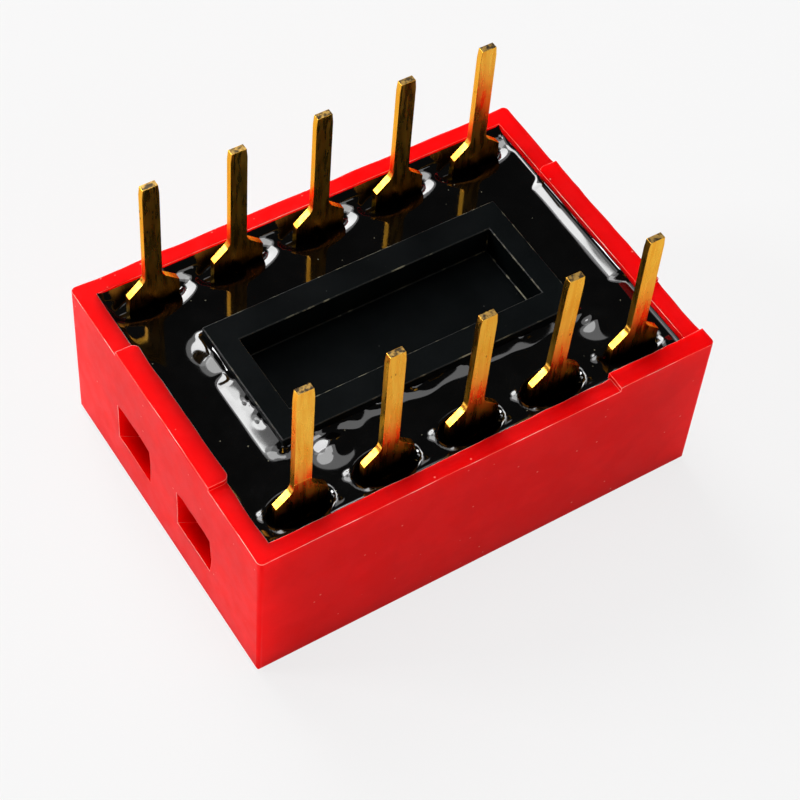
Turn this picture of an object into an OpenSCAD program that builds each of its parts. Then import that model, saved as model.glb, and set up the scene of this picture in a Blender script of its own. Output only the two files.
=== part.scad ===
// Five-position slide DIP switch, lying on its marked face with its terminals up.
// z = 0 is the marked face, +Z points to the terminal tips, +X runs along the positions
// and the front terminal row is on the -Y side. The sliders are at off, on their +Y side.

/* [Housing] */
// Distance from the last terminal's middle to the end of the cover
end_margin = 1.845; // [1.8:0.005:2.2]
// Width of the cover across the two terminal rows
body_w = 10; // [9.8:0.05:12]
// Height of the cover's open rim above its marked face
rim_h = 5.1; // [5.1:0.05:6]
// Thickness of the cover's marked face
face_t = 0.8; // [0.5:0.05:0.8]
// Thickness of the two end walls
end_wall = 0.55; // [0.45:0.05:0.6]
// Thickness of the two long walls
side_wall = 0.5; // [0.4:0.05:0.6]
// Radius of the upright outer corners
corner_r = 0.15; // [0.05:0.05:0.6]
// Radius of the edge round the marked face
face_edge_r = 0.2; // [0.05:0.05:0.4]

/* [Rim pads] */
// Height of the stand-off pads above the rim
pad_h = 0.14; // [0.05:0.01:0.3]
// How far the pads reach in past the wall
pad_in = 0.08; // [0:0.01:0.15]
// Length of the pad in the middle of each end wall
end_pad_l = 4.9; // [3:0.1:6]
// Radius of the inner corners of the end wall pads
pad_corner_r = 0.2; // [0.1:0.05:0.4]
// Length of the pad at the right end of the front wall
corner_pad_l = 3.05; // [1.5:0.05:4]

/* [Latches] */
// Width of each latch window in the end walls
window_w = 1.75; // [1.2:0.05:2]
// Height of a window's sill at the outside of the wall
window_z0 = 1.5; // [1.4:0.05:1.8]
// Height of the window's edge that holds the hook
window_z1 = 2.9; // [2.6:0.05:3]
// Distance from the middle of the end wall to a window's middle
window_y = 1.62; // [1.3:0.01:2]
// Drop of the window's sill from the outside of the wall to the inside
sill_drop = 0.4; // [0:0.05:0.4]
// How far each hook reaches out into its window
hook_out = 0.35; // [0.2:0.05:0.4]
// Height of the flat end of each hook
hook_land = 0.5; // [0.2:0.05:0.7]

/* [Terminals] */
// Distance between neighbouring terminals of a row
pitch = 2.54; // [2.5:0.01:2.7]
// Distance between the two terminal rows
row_spacing = 7.62; // [7.3:0.01:7.8]
// Width of a terminal's shank
pin_w = 0.5; // [0.4:0.01:0.6]
// Thickness of the strip that the terminals are stamped from
pin_t = 0.2; // [0.15:0.01:0.25]
// Height of the terminal tips above the marked face
tip_z = 9.3; // [8:0.1:10]
// Length of the tapered end of each tip
tip_taper_l = 0.3; // [0.2:0.05:1]
// How much each side of the tip tapers in across its width
tip_taper = 0.03; // [0.01:0.01:0.06]
// Width of the terminal across its shoulders
shoulder_w = 1.5; // [1.4:0.05:1.7]
// Height at which the shank's side and the shoulder's slope would meet without their fillet
shoulder_z = 5.8; // [5.6:0.05:6]
// Slope of the shoulders, in degrees
shoulder_slope = 42; // [30:1:45]
// Radius of the fillet between the shank and each shoulder
shoulder_r = 0.35; // [0.1:0.05:0.4]
// Width of the contact arm inside the switch
arm_w = 1.2; // [1:0.05:1.3]
// Inner radius of the bend from blade to contact arm
arm_bend_r = 0.15; // [0.05:0.05:0.3]

/* [Base] */
// Height of the base's inner face, which holds the contact arms
base_z0 = 3.05; // [3.05:0.05:3.2]
// Height of the base plate's outer face, which the sealing compound covers
plate_z1 = 4.45; // [4.2:0.05:4.5]
// Height of the central block that stands out of the sealing compound
block_z1 = 5.2; // [5.15:0.05:5.4]
// Length of the central block
block_l = 9.14; // [8.4:0.02:10]
// Width of the central block
block_w = 4.18; // [3.8:0.02:4.6]
// Length of the pocket in the central block
pocket_l = 7.8; // [6:0.05:7.9]
// Width of the pocket in the central block
pocket_w = 2.56; // [2:0.02:3]
// Depth of the pocket in the central block
pocket_d = 0.9; // [0.5:0.05:1]

/* [Sealing compound] */
// Height of the compound's flat surface
seal_z = 4.85; // [4.7:0.05:4.85]
// Height to which the compound climbs the walls and the central block
climb_h = 0.2; // [0.1:0.01:0.22]
// Distance from a wall at which the climb starts
climb_reach = 0.5; // [0.3:0.05:0.6]
// Depth of the dish that the compound forms round each terminal
dish_depth = 0.25; // [0.1:0.05:0.3]
// Distance from a terminal at which its dish starts
dish_reach = 0.45; // [0.2:0.05:0.46]

/* [Sliders] */
// Travel of a slider between off and on
travel = 1.4; // [1:0.1:1.5]
// Width of a slider
slider_w = 1.7; // [1.5:0.05:1.75]
// Length of a slider
slider_l = 4.4; // [4:0.1:5]
// Height of a slider without its knob
slider_h = 1.4; // [1.2:0.05:1.5]
// Width of the knob
knob_w = 1.1; // [0.9:0.05:1.2]
// Length of the knob along its travel
knob_l = 1.5; // [1.2:0.05:1.6]
// Depth of the knob's end below the marked face
knob_recess = 0.15; // [0.1:0.05:0.3]
// Radius of the finger groove across the knob
groove_r = 0.3; // [0.1:0.05:0.35]
// Depth of the seat that holds the spring's foot
seat_d = 0.3; // [0.15:0.05:0.4]

/* [Bridge contacts] */
// Thickness of the spring strip
spring_t = 0.12; // [0.08:0.01:0.15]
// Width of the spring strip
spring_w = 0.9; // [0.6:0.05:1]
// Distance from the spring's middle to each contact nose
nose_y = 1.25; // [1.2:0.05:1.4]
// Slope of the spring's arms, in degrees
arm_slope = 60; // [56:1:66]
// Radius of the bend at the foot of an arm, at the middle of the strip
foot_r = 0.2; // [0.15:0.01:0.25]
// Radius of the bend at a contact nose, at the middle of the strip
nose_r = 0.25; // [0.2:0.01:0.3]
// Length of the straight tail behind a contact nose
tail_l = 0.3; // [0.1:0.05:0.4]
// How far the rear contact arm reaches past the nose that always rubs on it
arm_overlap = 0.35; // [0.2:0.05:0.5]
// Gap between the front contact arm and its nose when the slider is off
open_gap = 0.6; // [0.4:0.05:0.8]

/* [Fits] */
// Gap round the base plate and its hooks
fit_gap = 0.04; // [0.02:0.01:0.06]
// Gap round each terminal in the base and the compound
pin_gap = 0.02; // [0.01:0.01:0.03]
// Running gap round the sliders and their knobs
slide_gap = 0.05; // [0.03:0.01:0.08]
// Running gap between a contact nose and the contact arms
nose_gap = 0.03; // [0.02:0.01:0.05]
// Gap between the spring and the sides of its seat
seat_gap = 0.04; // [0.02:0.01:0.06]

/* [Hidden] */
$fn = 48;

positions = 5;
// Excess length of cutting tools, so that no cut ends on a face
over = 0.5;
// Overlap that joins two parts of one moulding or stamping
bite = 0.1;
// Number of flats along each bend of a spring, each slope of the compound and each shoulder's fillet
bend_steps = 6;
slope_steps = 4;
fillet_steps = 4;

// Cover
body_l = (positions - 1) * pitch + 2 * end_margin;
cavity_l = body_l - 2 * end_wall;
cavity_w = body_w - 2 * side_wall;
slot_w = knob_w + 2 * slide_gap;
slot_l = knob_l + travel + 2 * slide_gap;
rib_w = pitch - slider_w - 2 * slide_gap;
guide_x = position_x(positions) + slider_w / 2 + slide_gap;

// Base and its legs
plate_l = cavity_l - 2 * fit_gap;
plate_w = cavity_w - 2 * fit_gap;
leg_w = window_w - 2 * fit_gap;
leg_z0 = window_z0 - sill_drop + fit_gap;
hook_z1 = window_z1 - fit_gap;

// Terminals
row_y = row_spacing / 2;
blade_z0 = base_z0 + pin_t + arm_bend_r;
shoulder_drop = (shoulder_w - pin_w) / 2 * tan(shoulder_slope);
neck_z = shoulder_z + shoulder_r * tan((90 - shoulder_slope) / 2);
// Lean of each front terminal towards the other row and along its own row, in degrees
front_lean = [[4.5, 2.5], [2, 1], [0, 1], [-1, 1], [0, 0]];
front_arm_end = -nose_y + travel / 2 - open_gap;
rear_arm_end = nose_y - travel / 2 - arm_overlap;

// Sliders and bridge contacts
slider_z0 = face_t + slide_gap;
slider_z1 = slider_z0 + slider_h;
seat_z = slider_z1 - seat_d;
slider_off_y = travel / 2;
nose_rise = base_z0 - nose_gap - seat_z - spring_t;
arm_l = (nose_rise - (foot_r + nose_r) * (1 - cos(arm_slope))) / sin(arm_slope);
foot_y = nose_y - (foot_r + nose_r) * sin(arm_slope) - arm_l * cos(arm_slope);
seat_rise = seat_d - spring_t / 2 - foot_r * (1 - cos(arm_slope));
seat_y = foot_y + foot_r * sin(arm_slope) + seat_rise / tan(arm_slope)
    + spring_t / 2 / sin(arm_slope) + seat_gap;

// Middle of position n, counted from the -X end
function position_x(n) = (n - (positions + 1) / 2) * pitch;

// Points along an arc from one angle to another, in a number of flats
function arc_points(centre, r, a0, a1, steps) =
    [for (i = [0:steps]) let (a = a0 + (a1 - a0) * i / steps) centre + r * [cos(a), sin(a)]];

// Points in the opposite order, and points mirrored to the other side of x = 0
function reversed(points) = [for (i = [len(points) - 1:-1:0]) points[i]];
function mirrored(points) = [for (p = points) [-p[0], p[1]]];

// Box centred in X and Y that stands between two heights
module block(size_x, size_y, z0, z1) {
    translate([-size_x / 2, -size_y / 2, z0])
        cube([size_x, size_y, z1 - z0]);
}

// Prism with its outline in X and Z, centred in Y
module prism_xz(depth) {
    rotate([90, 0, 0])
        linear_extrude(depth, center = true)
            children();
}

// Prism with its outline in Y and Z, centred in X
module prism_yz(depth) {
    rotate([90, 0, 90])
        linear_extrude(depth, center = true)
            children();
}

// The same shape at both ends of the switch
module both_ends() {
    children();
    mirror([1, 0, 0])
        children();
}

// The same shape at both long sides of the switch
module both_sides() {
    children();
    mirror([0, 1, 0])
        children();
}

// The same shape at every position of a row
module each_position() {
    for (n = [1:positions])
        translate([position_x(n), 0, 0])
            children();
}

// Rectangle with four rounded corners, centred
module rounded_plan(size_x, size_y, r) {
    square([size_x - 2 * r, size_y], center = true);
    square([size_x, size_y - 2 * r], center = true);
    for (x = [-1, 1], y = [-1, 1])
        translate([x * (size_x / 2 - r), y * (size_y / 2 - r)])
            circle(r);
}

// Upright outline of the cover, rounded along the marked face only
module tub_outline(size, height, r) {
    translate([-size / 2, r])
        square([size, height - r]);
    translate([-size / 2 + r, 0])
        square([size - 2 * r, 2 * r]);
    for (x = [-1, 1])
        translate([x * (size / 2 - r), r])
            circle(r);
}

// Outer block of the cover up to a height, with all its outer roundings
module tub_block(height) {
    intersection() {
        linear_extrude(height)
            rounded_plan(body_l, body_w, corner_r);
        prism_xz(body_w)
            tub_outline(body_l, height, face_edge_r);
        prism_yz(body_l)
            tub_outline(body_w, height, face_edge_r);
    }
}

// Plan of an end wall pad, with its inner corners rounded and its outer side at x = 0
module end_pad_plan() {
    depth = end_wall + pad_in;
    translate([-depth + pad_corner_r, -end_pad_l / 2])
        square([depth - pad_corner_r, end_pad_l]);
    translate([-depth, -end_pad_l / 2 + pad_corner_r])
        square([depth, end_pad_l - 2 * pad_corner_r]);
    for (y = [-1, 1])
        translate([-depth + pad_corner_r, y * (end_pad_l / 2 - pad_corner_r)])
            circle(pad_corner_r);
}

// Stand-off pads on both end walls and at the right end of the front wall
module rim_pads() {
    intersection() {
        tub_block(rim_h + pad_h);
        translate([0, 0, rim_h - bite]) {
            both_ends()
                translate([body_l / 2, 0, 0])
                    linear_extrude(pad_h + bite)
                        end_pad_plan();
            translate([body_l / 2 - corner_pad_l, -body_w / 2, 0])
                cube([corner_pad_l, side_wall + pad_in, pad_h + bite]);
        }
    }
}

// Ribs that part the sliders and carry the base
module slider_ribs() {
    for (n = [1:positions - 1])
        translate([(position_x(n) + position_x(n + 1)) / 2, 0, 0])
            block(rib_w, cavity_w + 2 * bite, face_t - bite, base_z0);
}

// Guides beside the two outer sliders, parted where the legs come down
module end_guides() {
    both_ends()
        difference() {
            translate([guide_x, -cavity_w / 2 - bite, face_t - bite])
                cube([cavity_l / 2 - guide_x + bite, cavity_w + 2 * bite, base_z0 - face_t + bite]);
            both_sides()
                translate([guide_x - over, window_y - window_w / 2, leg_z0 - fit_gap])
                    cube([cavity_l / 2 - guide_x + over, window_w, base_z0]);
        }
}

// Latch window through an end wall, with a sill that slopes down to the inside
module latch_window() {
    slope = sill_drop / end_wall;
    translate([0, window_y, 0])
        prism_xz(window_w)
            polygon([
                [cavity_l / 2 - bite, window_z0 - sill_drop - bite * slope],
                [body_l / 2 + over, window_z0 + over * slope],
                [body_l / 2 + over, window_z1],
                [cavity_l / 2 - bite, window_z1]
            ]);
}

module cover() {
    color([0.85, 0.05, 0.07])
        difference() {
            union() {
                difference() {
                    tub_block(rim_h);
                    block(cavity_l, cavity_w, face_t, rim_h + over);
                }
                rim_pads();
                slider_ribs();
                end_guides();
            }
            both_ends()
                both_sides()
                    latch_window();
            each_position()
                block(slot_w, slot_l, -over, face_t + over);
        }
}

// Leg of the base with the hook that springs into a latch window
module latch_leg() {
    leg_x = plate_l / 2;
    translate([0, window_y, 0])
        prism_xz(leg_w)
            polygon([
                [guide_x, leg_z0],
                [leg_x, leg_z0],
                [leg_x + hook_out, hook_z1 - hook_land],
                [leg_x + hook_out, hook_z1],
                [leg_x, hook_z1],
                [leg_x, base_z0 + bite],
                [guide_x, base_z0 + bite]
            ]);
}

// Room for one front terminal's blade, bend and contact arm
module terminal_slot(arm_end) {
    bend_y = -row_y + pin_t / 2 + arm_bend_r;
    outer_y = -row_y - pin_t / 2 - pin_gap;
    translate([-shoulder_w / 2 - pin_gap, outer_y, blade_z0 - pin_gap])
        cube([shoulder_w + 2 * pin_gap, pin_t + 2 * pin_gap, tip_z]);
    translate([-arm_w / 2 - pin_gap, outer_y, base_z0 - over])
        cube([arm_w + 2 * pin_gap, bend_y - outer_y, blade_z0 - base_z0 + over + bite]);
    translate([-arm_w / 2 - pin_gap, bend_y - bite, base_z0 - over])
        cube([arm_w + 2 * pin_gap, arm_end - bend_y + bite + pin_gap, over + pin_t + pin_gap]);
}

module base() {
    color([0.1, 0.1, 0.11])
        difference() {
            union() {
                block(plate_l, plate_w, base_z0, plate_z1);
                block(block_l, block_w, plate_z1 - bite, block_z1);
                both_ends()
                    both_sides()
                        latch_leg();
            }
            block(pocket_l, pocket_w, block_z1 - pocket_d, block_z1 + over);
            each_position() {
                terminal_slot(front_arm_end);
                mirror([0, 1, 0])
                    terminal_slot(-rear_arm_end);
            }
        }
}

// Points of the compound's curved slope, from its flat surface to a height at x
function slope_points(x, reach, height) =
    let (
        slope_r = (reach * reach + height * height) / (2 * height),
        slope_angle = 2 * atan(height / reach)
    )
    arc_points([x + reach, slope_r], slope_r, 270, 270 - slope_angle, slope_steps);

// Outline across something in the compound, with a slope on each side and a flat edge at a height
module slopes_outline(size, reach, height, edge_z) {
    right = concat([[size / 2 + reach, edge_z]], slope_points(size / 2, reach, height));
    polygon(concat(right, reversed(mirrored(right))));
}

// Slope of the compound against a wall that runs along X at y = 0
module wall_slope(length) {
    prism_yz(length)
        polygon(concat(
            [[0, -bite], [climb_reach, -bite]],
            slope_points(0, climb_reach, climb_h)
        ));
}

// Compound that climbs the cavity's four walls
module wall_climb() {
    both_sides()
        translate([0, -cavity_w / 2, seal_z])
            wall_slope(cavity_l);
    both_ends()
        translate([cavity_l / 2, 0, seal_z])
            rotate(90)
                wall_slope(cavity_w);
}

// Compound that climbs the four sides of the central block
module block_climb() {
    translate([0, 0, seal_z])
        intersection() {
            prism_xz(block_w + 2 * climb_reach)
                slopes_outline(block_l, climb_reach, climb_h, -bite);
            prism_yz(block_l + 2 * climb_reach)
                slopes_outline(block_w, climb_reach, climb_h, -bite);
        }
}

// Hollow of the dish round a terminal's blade
module dish() {
    end_x = (shoulder_w - pin_t) / 2;
    prism_yz(2 * end_x)
        slopes_outline(pin_t, dish_reach, -dish_depth, climb_h + over);
    both_ends()
        translate([end_x, 0, 0])
            rotate_extrude()
                polygon(concat(
                    [[0, -dish_depth], [0, climb_h + over], [pin_t / 2 + dish_reach, climb_h + over]],
                    slope_points(pin_t / 2, dish_reach, -dish_depth)
                ));
}

module sealing_compound() {
    color([0.07, 0.06, 0.06])
        difference() {
            intersection() {
                union() {
                    block(cavity_l, cavity_w, plate_z1, seal_z);
                    wall_climb();
                    block_climb();
                }
                block(cavity_l, cavity_w, plate_z1, seal_z + climb_h + over);
            }
            each_position()
                both_sides()
                    translate([0, row_y, seal_z])
                        dish();
            block(block_l, block_w, plate_z1 - over, block_z1);
            each_position()
                both_sides()
                    terminal_slot(front_arm_end);
        }
}

// Flat outline of a terminal's blade with its filleted shoulders, up to a height on the shank
module root_outline(top_z) {
    right = concat(
        [[shoulder_w / 2, blade_z0], [shoulder_w / 2, shoulder_z - shoulder_drop]],
        arc_points([pin_w / 2 + shoulder_r, neck_z], shoulder_r, 270 - shoulder_slope, 180, fillet_steps),
        [[pin_w / 2, top_z]]
    );
    polygon(concat(right, reversed(mirrored(right))));
}

// Flat outline of a shank with its tapered tip
module shank_outline(length) {
    right = [
        [pin_w / 2, 0],
        [pin_w / 2, length - tip_taper_l],
        [pin_w / 2 - tip_taper, length]
    ];
    polygon(concat(right, reversed(mirrored(right))));
}

// Side outline of the bend and the contact arm of a front terminal
module arm_outline(arm_end) {
    bend_y = -row_y + pin_t / 2 + arm_bend_r;
    translate([bend_y, base_z0])
        square([arm_end - bend_y, pin_t]);
    translate([bend_y, blade_z0])
        intersection() {
            difference() {
                circle(arm_bend_r + pin_t);
                circle(arm_bend_r);
            }
            translate([-arm_bend_r - pin_t, -arm_bend_r - pin_t])
                square(arm_bend_r + pin_t);
        }
}

// One front terminal at x = 0: contact arm, bend, blade and a shank that may lean
module terminal(arm_end, lean) {
    color([0.82, 0.62, 0.28]) {
        prism_yz(arm_w)
            arm_outline(arm_end);
        translate([0, -row_y, 0])
            prism_xz(pin_t)
                root_outline(neck_z + bite);
        translate([0, -row_y, neck_z])
            rotate([-lean[0], lean[1], 0])
                prism_xz(pin_t)
                    shank_outline(tip_z - neck_z);
    }
}

module front_terminal(n) {
    translate([position_x(n), 0, 0])
        terminal(front_arm_end, front_lean[n - 1]);
}

module rear_terminal(n) {
    translate([position_x(n), 0, 0])
        mirror([0, 1, 0])
            terminal(-rear_arm_end, [0, 0]);
}

module slider(n) {
    color([0.93, 0.93, 0.9])
        translate([position_x(n), slider_off_y, 0])
            difference() {
                union() {
                    block(slider_w, slider_l, slider_z0, slider_z1);
                    block(knob_w, knob_l, knob_recess, slider_z0 + bite);
                }
                translate([0, 0, knob_recess])
                    rotate([0, 90, 0])
                        cylinder(h = knob_w + over, r = groove_r, center = true);
                block(spring_w + 2 * seat_gap, 2 * seat_y, seat_z, slider_z1 + over);
            }
}

// One surface of the spring strip from its middle to a tail, at a distance above the strip's middle
function spring_side(above) =
    let (
        tail = [nose_y, nose_rise - nose_r] + (nose_r + above) * [sin(arm_slope), cos(arm_slope)]
            + tail_l * [cos(arm_slope), -sin(arm_slope)]
    )
    concat(
        arc_points([foot_y, foot_r], foot_r - above, -90, arm_slope - 90, bend_steps),
        arc_points([nose_y, nose_rise - nose_r], nose_r + above, 90 + arm_slope, 90 - arm_slope, bend_steps),
        [tail]
    );

// Side outline of the whole spring: lower surface one way, upper surface back
module spring_outline() {
    lower = spring_side(-spring_t / 2);
    upper = spring_side(spring_t / 2);
    polygon(concat(reversed(mirrored(lower)), lower, reversed(upper), mirrored(upper)));
}

module bridge_contact(n) {
    color([0.85, 0.66, 0.3])
        translate([position_x(n), slider_off_y, seat_z + spring_t / 2])
            prism_yz(spring_w)
                spring_outline();
}

cover();
base();
sealing_compound();
for (n = [1:positions]) {
    front_terminal(n);
    rear_terminal(n);
    slider(n);
    bridge_contact(n);
}
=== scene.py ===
import math

import bmesh
import bpy
import numpy as np
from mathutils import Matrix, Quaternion, Vector, noise


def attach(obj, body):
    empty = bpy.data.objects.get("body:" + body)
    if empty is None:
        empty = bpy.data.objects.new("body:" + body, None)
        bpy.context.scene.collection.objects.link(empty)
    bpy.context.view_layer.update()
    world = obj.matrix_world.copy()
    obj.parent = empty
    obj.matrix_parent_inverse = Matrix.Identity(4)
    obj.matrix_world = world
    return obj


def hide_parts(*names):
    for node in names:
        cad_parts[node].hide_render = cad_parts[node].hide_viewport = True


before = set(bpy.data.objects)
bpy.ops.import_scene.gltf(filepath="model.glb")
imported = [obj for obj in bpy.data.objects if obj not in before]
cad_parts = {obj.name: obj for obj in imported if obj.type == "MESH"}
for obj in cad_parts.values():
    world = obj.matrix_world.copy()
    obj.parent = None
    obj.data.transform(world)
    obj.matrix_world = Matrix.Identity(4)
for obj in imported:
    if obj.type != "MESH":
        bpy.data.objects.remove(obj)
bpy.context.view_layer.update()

# All lengths are in millimetres in the frame of the CAD model, and all angles in degrees.
MM = 0.001

# Sizes that the CAD model has too
POSITIONS = 5
PITCH = 2.54
ROW_Y = 3.81
# Half the length and half the width of the cover's inside and of the base's central block
CAVITY = (6.375, 4.5)
BLOCK = (4.57, 2.09)
# Heights of the compound's flat surface and of its underside
SEAL_Z = 4.85
SEAL_BOTTOM = 4.45


def position_x(n):
    """Middle of switch position n, counted from the -X end."""
    return (n - (POSITIONS + 1) / 2) * PITCH


def numbered(stem):
    """Numbers of the nodes that share a stem, with their names."""
    return [(n, f"{stem}_{n}") for n in range(1, POSITIONS + 1)]


def link(name, data):
    """New object in the scene."""
    made = bpy.data.objects.new(name, data)
    bpy.context.scene.collection.objects.link(made)
    return made


# --- Materials -------------------------------------------------------------------------------------

# Share of a speck's size within which it is full
SPECK_CORE = 0.6

# Heights over which the painted reflection of the compound on a terminal starts, and over which its dark
# lower part and then its brown upper part end
REFLECTION_START = (4.3, 4.5)
DARK_REFLECTION_END = (4.85, 5.5)
BROWN_REFLECTION_END = (5.1, 6.2)


def rgb(red, green, blue):
    """Opaque colour, linear."""
    return (red, green, blue, 1)


class Shader:
    """Node material with a Principled shader, built by short calls. Noise scales are per millimetre."""

    def __init__(self, name, **values):
        self.material = bpy.data.materials.new(name)
        self.material.use_nodes = True
        self.nodes = self.material.node_tree.nodes
        self.links = self.material.node_tree.links
        self.bsdf = self.nodes["Principled BSDF"]
        for socket, value in values.items():
            self.bsdf.inputs[socket.replace("_", " ")].default_value = value
        self.place = self.add("ShaderNodeTexCoord").outputs["Object"]

    def add(self, kind, **inputs):
        """New node with values or links on its named sockets."""
        node = self.nodes.new(kind)
        for socket, value in inputs.items():
            self.feed(node.inputs[socket.replace("_", " ")], value)
        return node

    def feed(self, socket, value):
        """Links an output to a socket, or sets the socket's own value."""
        if isinstance(value, bpy.types.NodeSocket):
            self.links.new(value, socket)
        else:
            socket.default_value = value

    def set(self, socket, value):
        """Feeds a socket of the Principled shader."""
        self.feed(self.bsdf.inputs[socket], value)

    def math(self, operation, a, b):
        node = self.nodes.new("ShaderNodeMath")
        node.operation = operation
        self.feed(node.inputs[0], a)
        self.feed(node.inputs[1], b)
        return node.outputs[0]

    def times(self, a, b):
        return self.math("MULTIPLY", a, b)

    def stretched(self, x, y, z):
        """Coordinates in millimetres, each axis times a factor."""
        node = self.nodes.new("ShaderNodeVectorMath")
        node.operation = "MULTIPLY"
        self.feed(node.inputs[0], self.place)
        node.inputs[1].default_value = (x / MM, y / MM, z / MM)
        return node.outputs[0]

    def level(self):
        """Height above the marked face, in millimetres."""
        node = self.nodes.new("ShaderNodeSeparateXYZ")
        self.feed(node.inputs[0], self.stretched(1, 1, 1))
        return node.outputs["Z"]

    def noise(self, scale, detail=3.0, stretch=(1, 1, 1)):
        """Noise from 0 to 1."""
        return self.add(
            "ShaderNodeTexNoise", Vector=self.stretched(*stretch), Scale=scale, Detail=detail
        ).outputs["Fac"]

    def ramp(self, value, low, high, out_low=0.0, out_high=1.0):
        """Maps a value from one range to another, smoothly and clamped."""
        node = self.nodes.new("ShaderNodeMapRange")
        node.interpolation_type = "SMOOTHSTEP"
        for socket, number in zip(node.inputs, (value, low, high, out_low, out_high)):
            self.feed(socket, number)
        return node.outputs[0]

    def cloud(self, scale, low, high, out_low=0.0, out_high=1.0, **shape):
        """Noise with its levels between low and high mapped to a range."""
        return self.ramp(self.noise(scale, **shape), low, high, out_low, out_high)

    def mix(self, factor, a, b):
        """Mix of two colours."""
        node = self.nodes.new("ShaderNodeMix")
        node.data_type = "RGBA"
        # Sockets 6 and 7 are the colours of a node that also has sockets for numbers and vectors.
        self.feed(node.inputs["Factor"], factor)
        self.feed(node.inputs[6], a)
        self.feed(node.inputs[7], b)
        return node.outputs[2]

    def specks(self, scale, size, stretch=(1, 1, 1)):
        """1 on scattered specks of a size that is a share of their spacing, 0 elsewhere."""
        node = self.add("ShaderNodeTexVoronoi", Vector=self.stretched(*stretch), Scale=scale)
        return self.ramp(node.outputs["Distance"], size, size * SPECK_CORE)

    def speckled(self, under, over, share, specks, patches):
        """A colour with specks of a share of another colour, which show only in patches."""
        where = self.times(self.specks(*specks), self.cloud(*patches))
        return self.mix(self.times(where, share), under, over)

    def bump(self, height, depth):
        """Bump of a depth in millimetres."""
        node = self.add("ShaderNodeBump", Height=height, Distance=depth * MM, Strength=1.0)
        self.links.new(node.outputs[0], self.bsdf.inputs["Normal"])


def red_plastic(name, low, high):
    """Moulded red plastic that light enters, with faint flow clouds and pale dust."""
    s = Shader(
        name, Specular_IOR_Level=0.025, Subsurface_Weight=1.0,
        Subsurface_Radius=(1.0, 0.05, 0.05), Subsurface_Scale=2.0 * MM,
    )
    colour = s.mix(s.cloud(0.9, 0.4, 0.65, detail=4.0), low, high)
    dust = rgb(1.0, 0.36, 0.28)
    s.set("Base Color", s.speckled(colour, dust, 0.7, (2.4, 0.08), (1.3, 0.45, 0.55)))
    s.set("Roughness", s.cloud(2.0, 0.3, 0.7, 0.28, 0.38))
    s.bump(s.noise(9.0, 4.0), 0.0015)
    return s.material


def base_plastic():
    """Matt black plastic with grey dust."""
    s = Shader("base_plastic", Specular_IOR_Level=0.02)
    clouds = s.cloud(0.7, 0.3, 0.7, detail=4.0)
    colour = s.mix(clouds, rgb(0.0012, 0.0019, 0.0022), rgb(0.0026, 0.0036, 0.004))
    dust = rgb(0.12, 0.12, 0.11)
    s.set("Base Color", s.speckled(colour, dust, 0.4, (2.6, 0.06), (0.9, 0.5, 0.6)))
    s.set("Roughness", s.cloud(6.0, 0.3, 0.7, 0.42, 0.6))
    s.bump(s.noise(14.0, 5.0), 0.002)
    return s.material


def base_edge():
    """Edges of the base with a painted highlight, pale in patches where they would catch a little light.
    """
    s = Shader("base_edge", Roughness=0.4, Specular_IOR_Level=0.2)
    # Painted highlight: pale patches on the edge faces, where light would glint.
    glinting = s.times(s.cloud(3.0, 0.5, 0.62, detail=4.0), s.cloud(0.6, 0.4, 0.6))
    s.set("Base Color", s.mix(glinting, rgb(0.004, 0.005, 0.005), rgb(0.16, 0.15, 0.10)))
    s.bump(s.noise(14.0, 5.0), 0.003)
    return s.material


def compound_resin():
    """Glossy black sealing compound with yellowish dust."""
    s = Shader("compound_resin", IOR=1.7)
    colour = s.mix(s.cloud(1.5, 0.3, 0.7), rgb(0.0004, 0.0004, 0.0004), rgb(0.001, 0.001, 0.001))
    dust = rgb(0.35, 0.34, 0.24)
    s.set("Base Color", s.speckled(colour, dust, 0.5, (2.8, 0.07), (1.1, 0.48, 0.58)))
    s.set("Roughness", s.cloud(2.5, 0.35, 0.7, 0.05, 0.08, detail=4.0))
    return s.material


def plated_metal(name, face, tint):
    """Stamped strip with drawn streaks, tinted patches and pits, and a painted reflection of the compound
    above its level.
    """
    s = Shader(name, Metallic=1.0, Specular_Tint=rgb(1.0, 0.72, 0.4))
    streaks = s.cloud(9.0, 0.35, 0.7, detail=4.0, stretch=(1, 1, 0.06))
    patches = s.cloud(2.2, 0.45, 0.7, stretch=(1, 1, 0.4))
    colour = s.mix(s.times(streaks, 0.5), face, tint)
    colour = s.mix(s.times(patches, 0.35), colour, tint)
    pits = rgb(0.10, 0.05, 0.02)
    colour = s.speckled(colour, pits, 0.8, (5.0, 0.16, (1, 1, 0.5)), (1.6, 0.5, 0.58))
    # Painted reflection of the dark compound: the plating turns near black at the compound's level and
    # brown above it.
    height = s.math("ADD", s.level(), s.cloud(2.5, 0.3, 0.7, -0.1, 0.1))
    marked = s.ramp(height, *REFLECTION_START)
    brown_reflection = s.times(marked, s.ramp(height, *BROWN_REFLECTION_END, 0.75, 0.0))
    foot = s.times(marked, s.ramp(height, *DARK_REFLECTION_END, 1.0, 0.0))
    colour = s.mix(brown_reflection, colour, rgb(0.45, 0.10, 0.01))
    s.set("Base Color", s.mix(foot, colour, rgb(0.004, 0.001, 0.0005)))
    s.set("Roughness", s.cloud(7.0, 0.3, 0.7, 0.22, 0.36, detail=4.0, stretch=(1, 1, 0.15)))
    s.bump(s.noise(16.0, 3.0, (1, 1, 0.05)), 0.0015)
    return s.material


def cut_metal():
    """Broken grain of the terminals' cut ends."""
    s = Shader("cut_metal", Metallic=1.0, Roughness=0.4)
    grain = s.cloud(7.0, 0.4, 0.6, detail=4.0)
    s.set("Base Color", s.mix(grain, rgb(0.07, 0.05, 0.03), rgb(0.5, 0.3, 0.08)))
    s.bump(s.noise(20.0, 4.0), 0.004)
    return s.material


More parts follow.
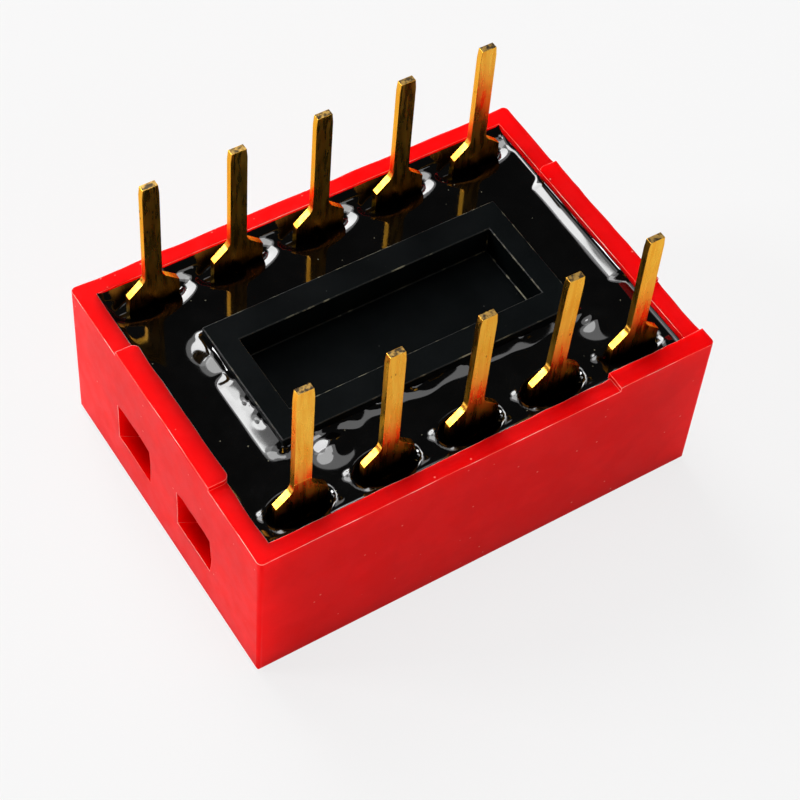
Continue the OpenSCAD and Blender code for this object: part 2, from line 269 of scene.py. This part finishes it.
def white_plastic():
    """Satin white plastic of the sliders."""
    s = Shader("white_plastic")
    s.set("Base Color", s.mix(s.cloud(1.0, 0.3, 0.7), rgb(0.78, 0.77, 0.73), rgb(0.85, 0.84, 0.81)))
    s.set("Roughness", s.cloud(5.0, 0.3, 0.7, 0.33, 0.48))
    s.bump(s.noise(10.0, 4.0), 0.002)
    return s.material


def marking_ink():
    """Printed white ink, unevenly covered."""
    s = Shader("marking_ink", Roughness=0.6)
    thin = s.cloud(6.0, 0.3, 0.75, detail=5.0)
    s.set("Base Color", s.mix(thin, rgb(0.86, 0.85, 0.82), rgb(0.72, 0.70, 0.67)))
    return s.material


RED = red_plastic("red_plastic", rgb(0.84, 0.002, 0.003), rgb(0.90, 0.004, 0.005))
# The cover's rounded edge faces take a pale pink that is a painted highlight along the edges.
RED_PAINTED_EDGE_HIGHLIGHT = red_plastic("red_painted_edge_highlight", rgb(0.97, 0.09, 0.07), rgb(1.0, 0.48, 0.42))
BLACK = base_plastic()
BLACK_PAINTED_EDGE_HIGHLIGHT = base_edge()
RESIN = compound_resin()
PLATING = plated_metal("terminal_plating", rgb(0.88, 0.49, 0.065), rgb(0.76, 0.27, 0.02))
SPRING = plated_metal("spring_plating", rgb(0.80, 0.52, 0.20), rgb(0.74, 0.40, 0.13))
CUT = cut_metal()
WHITE = white_plastic()
INK = marking_ink()


# --- Pieces from the CAD solids --------------------------------------------------------------------

# Length under which an edge of a CAD mesh is merged away
SLIVER = 0.006
# Angle between faces under which they count as one flat, and over which their edge is rounded
FLAT_ANGLE = 0.2
CORNER_ANGLE = 30

# Radius of the rounded edges of each kind of piece
COVER_ROUND = 0.045
BASE_ROUND = 0.03
TERMINAL_ROUND = 0.008
SLIDER_ROUND = 0.05
SPRING_ROUND = 0.012

# Greatest depth of the wear on the cover's edges, the spacing of its points and its noise's scale
WEAR_DEPTH = 0.06
WEAR_STEP = 0.3
WEAR_SCALE = 1.7

# Level of the visual marked face, which leaves room for the ink under it
FACE_LEVEL = 0.01

# Depth under a terminal's highest point in which its end faces count as cut metal, and their least
# share of facing up
CUT_DEPTH = 0.05
CUT_FACING = 0.98


def new_piece(name, mesh, materials, node, body):
    """Makes a mesh a piece, which may stand for a node. Its faces' indices choose from the materials."""
    piece = link(name, mesh)
    # Clearing the materials sets every face's index to 0.
    chosen = [face.material_index for face in mesh.polygons]
    mesh.materials.clear()
    for material in materials:
        mesh.materials.append(material)
    for face, index in zip(mesh.polygons, chosen):
        face.material_index = min(index, len(materials) - 1)
    if node:
        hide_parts(node)
    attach(piece, body)


def keep_flats(mesh):
    """Normals that stay flat on large faces and turn only over the rounded edges."""
    total = np.zeros((len(mesh.vertices), 3))
    for face in mesh.polygons:
        total[list(face.vertices)] += np.array(face.normal) * face.area
    total /= np.linalg.norm(total, axis=1, keepdims=True)
    mesh.shade_smooth()
    mesh.normals_split_custom_set_from_vertices(total.tolist())


def is_corner(edge):
    return edge.is_manifold and edge.calc_face_angle(0) > math.radians(CORNER_ANGLE)


def wear_edges(shape, depth):
    """Moves the points along the long edges into the material, by an uneven depth."""
    for edge in [e for e in shape.edges if is_corner(e) and e.calc_length() > 2 * WEAR_STEP]:
        inward = -(edge.link_faces[0].normal + edge.link_faces[1].normal).normalized()
        cuts = int(edge.calc_length() / WEAR_STEP)
        made = bmesh.ops.bisect_edges(shape, edges=[edge], cuts=cuts)["geom_split"]
        for vert in [v for v in made if isinstance(v, bmesh.types.BMVert)]:
            vert.co += inward * depth * (0.5 + 0.5 * noise.noise(vert.co * WEAR_SCALE)) ** 2


def rounded_mesh(node, radius, lowest=0.0, wear=0.0):
    """Copy of a CAD node's mesh with its edges rounded, and nothing under a lowest level.

    The new faces on the edges take material index 1.
    """
    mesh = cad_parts[node].data.copy()
    mesh.name = node
    shape = bmesh.new()
    shape.from_mesh(mesh)
    bmesh.ops.scale(shape, vec=Vector((1, 1, 1)) / MM, verts=shape.verts)
    bmesh.ops.remove_doubles(shape, verts=shape.verts, dist=SLIVER)
    bmesh.ops.dissolve_degenerate(shape, dist=SLIVER, edges=shape.edges)
    bmesh.ops.dissolve_limit(
        shape, angle_limit=math.radians(FLAT_ANGLE), verts=shape.verts, edges=shape.edges
    )
    if wear:
        wear_edges(shape, wear)
    corners = [edge for edge in shape.edges if is_corner(edge)]
    bmesh.ops.bevel(
        shape, geom=corners, offset=radius, segments=2, profile=0.5, affect="EDGES",
        clamp_overlap=True, material=1,
    )
    for vert in shape.verts:
        vert.co.z = max(vert.co.z, lowest)
    bmesh.ops.scale(shape, vec=Vector((1, 1, 1)) * MM, verts=shape.verts)
    shape.to_mesh(mesh)
    shape.free()
    keep_flats(mesh)
    return mesh


def make_cover():
    mesh = rounded_mesh("cover", COVER_ROUND, FACE_LEVEL, WEAR_DEPTH)
    new_piece("cover_shell", mesh, [RED, RED_PAINTED_EDGE_HIGHLIGHT], "cover", "housing")


def make_base():
    mesh = rounded_mesh("base", BASE_ROUND)
    new_piece("base_moulding", mesh, [BLACK, BLACK_PAINTED_EDGE_HIGHLIGHT], "base", "housing")


def make_terminals():
    for row in ("front", "rear"):
        for n, node in numbered(f"{row}_terminal"):
            mesh = rounded_mesh(node, TERMINAL_ROUND)
            top = max(v.co.z for v in mesh.vertices)
            for face in mesh.polygons:
                at_top = face.center.z > top - CUT_DEPTH * MM
                face.material_index = int(at_top and face.normal.z > CUT_FACING)
            new_piece(f"{row}_pin_{n}", mesh, [PLATING, CUT], node, "housing")


def make_sliders():
    for n, node in numbered("slider"):
        mesh = rounded_mesh(node, SLIDER_ROUND)
        new_piece(f"slide_knob_{n}", mesh, [WHITE], node, f"slide_{n}")
    for n, node in numbered("bridge_contact"):
        mesh = rounded_mesh(node, SPRING_ROUND)
        new_piece(f"bridge_spring_{n}", mesh, [SPRING], node, f"slide_{n}")


# --- Sealing compound ------------------------------------------------------------------------------

# Spacing of the surface's points, the angle over which its edges stay sharp, and the points that a
# slope is summed over
GRID = 0.05
SHARP_ANGLE = 60
RISE_POINTS = 200

# Slopes up the walls and the central block, as angles at distances from what they climb. The block
# has a bank at its left, a ragged slope along its front, and a short foot elsewhere.
RIGHT_WALL = ((0, 50), (0.10, 40), (0.13, 23), (0.42, 17), (0.50, 0))
LEFT_WALL = ((0, 45), (0.1, 20), (0.2, 6), (0.5, 0))
REAR_WALL = ((0, 50), (0.15, 35), (0.25, 0))
FRONT_WALL = ((0, 50), (0.1, 30), (0.2, 0))
BLOCK_BANK = ((0, 26), (0.08, 18), (0.47, 13), (0.55, 0))
BLOCK_DRAWN = ((0, 40), (0.1, 18), (0.2, 9), (0.32, 4), (0.34, 0))
BLOCK_FOOT = ((0, 50), (0.06, 25), (0.12, 10), (0.2, 0))

# The right wall's slope is wide between two values of Y, and narrows to a share of that beyond them
RIGHT_WIDE = (-1.75, 2.3)
RIGHT_NARROW = 0.2
RIGHT_BLEND = 0.4

# The block's bank lies between two values of Y, with soft ends. Round the block's corners, one slope
# turns into the next over a blend.
BANK_Y = (-2.15, 0.55)
BANK_BLEND = 0.5
CORNER_BLEND = 0.1

# Depth, wavelength and seed of the ragged edge of the front slope, and of the ripples everywhere
RAGGED = (0.06, 1.1, 3)
RIPPLE = (0.002, 1.6, 11)

# Dishes round the terminals: half sizes in plan, and angles at distances in from the rim
REAR_OVAL = (1.36, 0.72)
REAR_DISH = ((0, 0), (0.06, 10), (0.26, 20), (0.30, 36), (0.7, 42))
FRONT_OVAL = (1.0, 0.58)
FRONT_DISH = ((0, 0), (0.06, 50), (0.25, 52), (0.4, 30), (0.6, 0))
LAST_OVAL = (1.04, 0.52)
LAST_DISH = ((0, 0), (0.04, 10), (0.14, 24), (0.3, 45), (0.5, 40))

# How far a rear dish's middle lies behind its terminal
REAR_SHIFT = 0.04

# Lip of a front dish: its height, its middle's distance out from the rim, and its half width
LIP_H = 0.009
LIP_OUT = 0.02
LIP_HALF = 0.045

# Stretch of a rear dish's slopes at angles round its terminal, from +X towards +Y
REAR_SPREAD = (
    (-180, 0.5), (-125, 0.5), (-85, 1.0), (-50, 2.0), (-20, 2.3), (5, 1.4), (35, 0.5), (180, 0.4),
)

# Beads on the lip of each front dish: places from the terminal's axis and half lengths, with their
# half width and height as shares of those
FRONT_BEADS = (((-0.95, 0.22), 0.14), ((0.95, -0.24), 0.11), ((-0.72, -0.36), 0.08))
BEAD_WIDTH = 0.8
BEAD_HEIGHT = 0.4

# Mounds and bites, which are mounds of a negative height: middle, half sizes and height
MOUNDS = (
    ((-4.6, 1.45), (0.42, 0.55), 0.11),
    ((-3.45, -2.65), (0.4, 0.34), 0.125),
    ((4.8, -2.62), (0.4, 0.34), 0.125),
    ((-4.62, -0.45), (0.12, 0.16), -0.03),
    ((-4.62, -1.1), (0.12, 0.16), -0.03),
)


def outside(x, y, half):
    """Distance from a centred rectangle in plan, 0 inside it."""
    dx = np.maximum(np.abs(x) - half[0], 0)
    dy = np.maximum(np.abs(y) - half[1], 0)
    return np.hypot(dx, dy)


def oval(x, y, middle, half):
    """Distance from an ellipse in plan, negative inside it."""
    dx = x - middle[0]
    dy = y - middle[1]
    reach = np.hypot(dx / half[0], dy / half[1])
    steep = np.hypot(dx / half[0] ** 2, dy / half[1] ** 2)
    return (reach - 1) * reach / np.maximum(steep, 1e-6)


def within(value, low, high, edge):
    """1 between two limits and 0 outside them, with soft edges."""
    rising = np.clip((value - low) / edge + 0.5, 0, 1)
    falling = np.clip((high - value) / edge + 0.5, 0, 1)
    t = np.minimum(rising, falling)
    return t * t * (3 - 2 * t)


def waves(x, y, depth, wavelength, seed, count=9):
    """Smooth random relief of about a depth up and down."""
    rng = np.random.default_rng(seed)
    total = np.zeros_like(x)
    for _ in range(count):
        turn = rng.uniform(0, 2 * math.pi)
        length = wavelength * rng.uniform(0.7, 1.5)
        phase = rng.uniform(0, 2 * math.pi)
        total += np.sin(2 * math.pi * (x * math.cos(turn) + y * math.sin(turn)) / length + phase)
    return depth * total / math.sqrt(count)


def mound(x, y, middle, half, height):
    """Smooth round rise of a height."""
    return height * np.exp(-(((x - middle[0]) / half[0]) ** 2) - ((y - middle[1]) / half[1]) ** 2)


def rise(distance, knots):
    """Height of a curve that starts at 0 and has the knots' angles at their distances."""
    s = np.linspace(0, knots[-1][0], RISE_POINTS)
    steps = np.tan(np.radians(np.interp(s, *zip(*knots)))) * (s[1] - s[0])
    return np.interp(distance, s, np.cumsum(steps) - steps[0])


def slope(distance, knots):
    """Height above its foot of a slope whose knots' distances are counted from its top."""
    length = knots[-1][0]
    from_foot = [(length - d, angle) for d, angle in reversed(knots)]
    return rise(np.clip(length - distance, 0, length), from_foot)


def rear_dish(x, y, middle):
    """Wide oval dish round a rear terminal's blade, which is widest at its right front."""
    angle = np.degrees(np.arctan2(y - middle[1], x - middle[0]))
    spread = np.interp(angle, *zip(*REAR_SPREAD))
    s = oval(x, y, (middle[0], middle[1] + REAR_SHIFT), REAR_OVAL)
    return -rise(np.maximum(-s, 0) / spread, REAR_DISH) * spread


def front_dish(x, y, middle):
    """Steep oval dish round a front terminal's blade, with a low lip."""
    s = oval(x, y, middle, FRONT_OVAL)
    lip = LIP_H * np.exp(-(((s - LIP_OUT) / LIP_HALF) ** 2))
    return lip - rise(np.maximum(-s, 0), FRONT_DISH)


def last_front_dish(x, y, middle):
    """Shallower dish of the last front terminal, which shines at its far side."""
    s = oval(x, y, middle, LAST_OVAL)
    return -rise(np.maximum(-s, 0), LAST_DISH)


def dishes(x, y):
    """Relief round all the terminals."""
    z = np.zeros_like(x)
    for n in range(1, POSITIONS + 1):
        z += rear_dish(x, y, (position_x(n), ROW_Y))
        kind = last_front_dish if n == POSITIONS else front_dish
        z += kind(x, y, (position_x(n), -ROW_Y))
        for (bead_x, bead_y), size in FRONT_BEADS:
            middle = (position_x(n) + bead_x, bead_y - ROW_Y)
            z += mound(x, y, middle, (size, BEAD_WIDTH * size), BEAD_HEIGHT * size)
    return z


def wall_slopes(x, y):
    """Compound that climbs the cavity's four walls. Where it narrows, the right slope keeps its angles."""
    spread = RIGHT_NARROW + (1 - RIGHT_NARROW) * within(y, *RIGHT_WIDE, RIGHT_BLEND)
    z = slope((CAVITY[0] - x) / spread, RIGHT_WALL) * spread
    z += slope(CAVITY[0] + x, LEFT_WALL)
    z += slope(CAVITY[1] - y, REAR_WALL)
    z += slope(CAVITY[1] + y, FRONT_WALL)
    return z


def block_slopes(x, y):
    """Compound that climbs the central block."""
    to_block = outside(x, y, BLOCK)
    z = slope(to_block, BLOCK_FOOT)
    in_front = within(y, -CAVITY[1], CORNER_BLEND / 2 - BLOCK[1], CORNER_BLEND)
    z += in_front * (slope(to_block - waves(x, y, *RAGGED), BLOCK_DRAWN) - z)
    at_left = within(x, -CAVITY[0], CORNER_BLEND / 2 - BLOCK[0], CORNER_BLEND)
    banked = at_left * within(y, *BANK_Y, BANK_BLEND)
    return z + banked * (slope(to_block, BLOCK_BANK) - z)


def compound_height(x, y):
    """Height of the compound's surface over points in plan."""
    z = SEAL_Z + dishes(x, y) + wall_slopes(x, y) + block_slopes(x, y)
    for middle, half, height in MOUNDS:
        z += mound(x, y, middle, half, height)
    return z + waves(x, y, *RIPPLE)


# For a step to each neighbour of a cell, the two of its four corners that they share
SHARED_CORNERS = {(-1, 0): (3, 0), (1, 0): (1, 2), (0, -1): (0, 1), (0, 1): (2, 3)}


def grid_slab(half, height, bottom, hole, cell):
    """Points and faces of a closed slab over a rectangle, its top at height(x, y), with a hole."""
    count_x, count_y = [int(round(2 * h / cell)) for h in half]
    xs = np.linspace(-half[0], half[0], count_x + 1)
    ys = np.linspace(-half[1], half[1], count_y + 1)
    x, y = np.meshgrid(xs, ys, indexing="ij")
    top = np.stack([x, y, height(x, y)], axis=-1).reshape(-1, 3)
    low = np.stack([x, y, np.full_like(x, bottom)], axis=-1).reshape(-1, 3)

    # Each cell's corners go round from the one at its lowest X and Y. A cell in the hole has no faces.
    i, j = np.meshgrid(np.arange(count_x), np.arange(count_y), indexing="ij")
    first = i * (count_y + 1) + j
    quads = np.stack([first, first + count_y + 1, first + count_y + 2, first + 1], axis=-1)
    middle_x = (xs[:-1] + xs[1:])[i] / 2
    middle_y = (ys[:-1] + ys[1:])[j] / 2
    solid = (np.abs(middle_x) > hole[0]) | (np.abs(middle_y) > hole[1])
    faces = [quads[solid], quads[solid][:, ::-1] + len(top)]

    # A side stands wherever a solid cell has no solid neighbour.
    padded = np.pad(solid, 1)
    for (step_x, step_y), (p, q) in SHARED_CORNERS.items():
        neighbour = padded[1 + step_x:1 + step_x + count_x, 1 + step_y:1 + step_y + count_y]
        rim = quads[solid & ~neighbour]
        u = rim[:, p]
        v = rim[:, q]
        faces.append(np.stack([v, u, u + len(top), v + len(top)], axis=-1))
    return np.concatenate([top, low]), np.concatenate(faces)


def mesh_from(name, points, faces):
    """Mesh in metres from points in millimetres, without the points that no face uses."""
    used, index = np.unique(faces, return_inverse=True)
    mesh = bpy.data.meshes.new(name)
    mesh.from_pydata((points[used] * MM).tolist(), [], index.reshape(faces.shape).tolist())
    mesh.update()
    return mesh


def make_compound():
    points, faces = grid_slab(CAVITY, compound_height, SEAL_BOTTOM, BLOCK, GRID)
    mesh = mesh_from("compound", points, faces)
    mesh.shade_smooth()
    mesh.set_sharp_from_angle(angle=math.radians(SHARP_ANGLE))
    new_piece("compound_fill", mesh, [RESIN], "sealing_compound", "housing")


# --- Markings --------------------------------------------------------------------------------------

MARK_SIZE = 1.7
MARK_Y = 3.1
INK_T = 0.012


def marking(name, text, x, y):
    """Generic mark in ink on the marked face, which is read from below."""
    curve = bpy.data.curves.new(name, "FONT")
    curve.body = text
    curve.size = MARK_SIZE
    curve.extrude = INK_T / 2
    curve.align_x = "CENTER"
    curve.align_y = "CENTER"
    source = link(name + "_curve", curve)
    bpy.context.view_layer.update()
    mesh = bpy.data.meshes.new_from_object(source)
    bpy.data.objects.remove(source)
    for vert in mesh.vertices:
        vert.co = Vector((vert.co.x + x, -vert.co.y + y, INK_T / 2 - vert.co.z)) * MM
    new_piece(name, mesh, [INK], None, "housing")


def make_markings():
    for n in range(1, POSITIONS + 1):
        marking(f"mark_{n}", str(n), position_x(n), MARK_Y)
    marking("mark_on", "ON", position_x(1), -MARK_Y)


# --- Stage -----------------------------------------------------------------------------------------

CAMERA_AT = Vector((-22.153, -30.437, 51.521))
CAMERA_AIM = Vector((0.775, 0.345, 0.558))
CAMERA_ROLL = 5.73
CAMERA_LENS = 101.9
CAMERA_SENSOR = 36
CAMERA_NEAR = 2
CAMERA_FAR = 5000

FLOOR_HALF = 1000
FLOOR_SHADE = rgb(0.83, 0.83, 0.83)
FLOOR_SEEN = rgb(0.913, 0.913, 0.913)
# Shares of the floor's plain level in what the camera and what reflections see
SEEN_BY_CAMERA = 0.88
SEEN_IN_GLOSS = 0.5

SKY_STRENGTH = 0.03
LAMP_DISTANCE = 300

# Lamps: direction from the part, width and height in degrees, radiance and roll
WINDOW_AT = (0.02, 0.77, 0.64)
WINDOW_ROLL = -32
LAMPS = {
    "window": (WINDOW_AT, (18, 46), 10, WINDOW_ROLL),
    "window_surround": (WINDOW_AT, (28, 66), 1.3, WINDOW_ROLL),
    "left": ((-0.76, 0.48, 0.44), (18, 20), 19, 0),
    "front": ((0.15, -0.95, 0.25), (60, 30), 2.1, 0),
    "top": ((0.03, 0.2, 0.98), (18, 24), 4, 0),
    "top_surround": ((0.06, 0.18, 0.98), (38, 36), 1.5, 0),
}


def aim(thing, direction, roll):
    """Turns a camera or lamp to look along a direction, with a roll about it."""
    thing.rotation_mode = "QUATERNION"
    turn = Quaternion((0, 0, 1), math.radians(roll))
    thing.rotation_quaternion = direction.to_track_quat("-Z", "Y") @ turn


def make_camera():
    data = bpy.data.cameras.new("camera")
    data.lens = CAMERA_LENS
    data.sensor_width = CAMERA_SENSOR
    data.clip_start = CAMERA_NEAR * MM
    data.clip_end = CAMERA_FAR * MM
    camera = link("camera", data)
    camera.location = CAMERA_AT * MM
    aim(camera, CAMERA_AIM - CAMERA_AT, CAMERA_ROLL)
    bpy.context.scene.camera = camera


def floor_finish():
    """Pale matt floor that the camera sees partly at its own plain level, so shadows on it stay soft."""
    s = Shader("floor_finish", Base_Color=FLOOR_SHADE, Roughness=0.9, Specular_IOR_Level=0.0)
    plain = s.add("ShaderNodeEmission", Color=FLOOR_SEEN, Strength=1.0)
    path = s.add("ShaderNodeLightPath").outputs
    to_camera = s.times(path["Is Camera Ray"], SEEN_BY_CAMERA)
    to_gloss = s.times(path["Is Glossy Ray"], SEEN_IN_GLOSS)
    blend = s.add("ShaderNodeMixShader")
    s.feed(blend.inputs[0], s.math("MAXIMUM", to_camera, to_gloss))
    s.links.new(s.bsdf.outputs[0], blend.inputs[1])
    s.links.new(plain.outputs[0], blend.inputs[2])
    s.links.new(blend.outputs[0], s.nodes["Material Output"].inputs["Surface"])
    return s.material


def make_floor():
    mesh = bpy.data.meshes.new("floor")
    r = FLOOR_HALF * MM
    mesh.from_pydata([(-r, -r, 0), (r, -r, 0), (r, r, 0), (-r, r, 0)], [], [(0, 1, 2, 3)])
    mesh.materials.append(floor_finish())
    floor = link("floor", mesh)


def softbox(name, towards, degrees, radiance, roll):
    """Rectangular lamp in a direction from the part, by its size in degrees and its brightness."""
    data = bpy.data.lights.new(name, "AREA")
    data.shape = "RECTANGLE"
    data.size, data.size_y = [2 * LAMP_DISTANCE * MM * math.tan(math.radians(a / 2)) for a in degrees]
    data.energy = radiance * math.pi * data.size * data.size_y
    lamp = link(name, data)
    lamp.location = Vector(towards).normalized() * LAMP_DISTANCE * MM
    aim(lamp, -lamp.location, roll)


def make_lights():
    world = bpy.data.worlds.new("studio")
    bpy.context.scene.world = world
    world.use_nodes = True
    sky = world.node_tree.nodes["Background"]
    sky.inputs["Color"].default_value = rgb(1, 1, 1)
    sky.inputs["Strength"].default_value = SKY_STRENGTH
    for name, (towards, degrees, radiance, roll) in LAMPS.items():
        softbox(name, towards, degrees, radiance, roll)


bpy.context.scene.view_settings.view_transform = "Standard"
make_cover()
make_base()
make_terminals()
make_sliders()
make_compound()
make_markings()
make_camera()
make_floor()
make_lights()
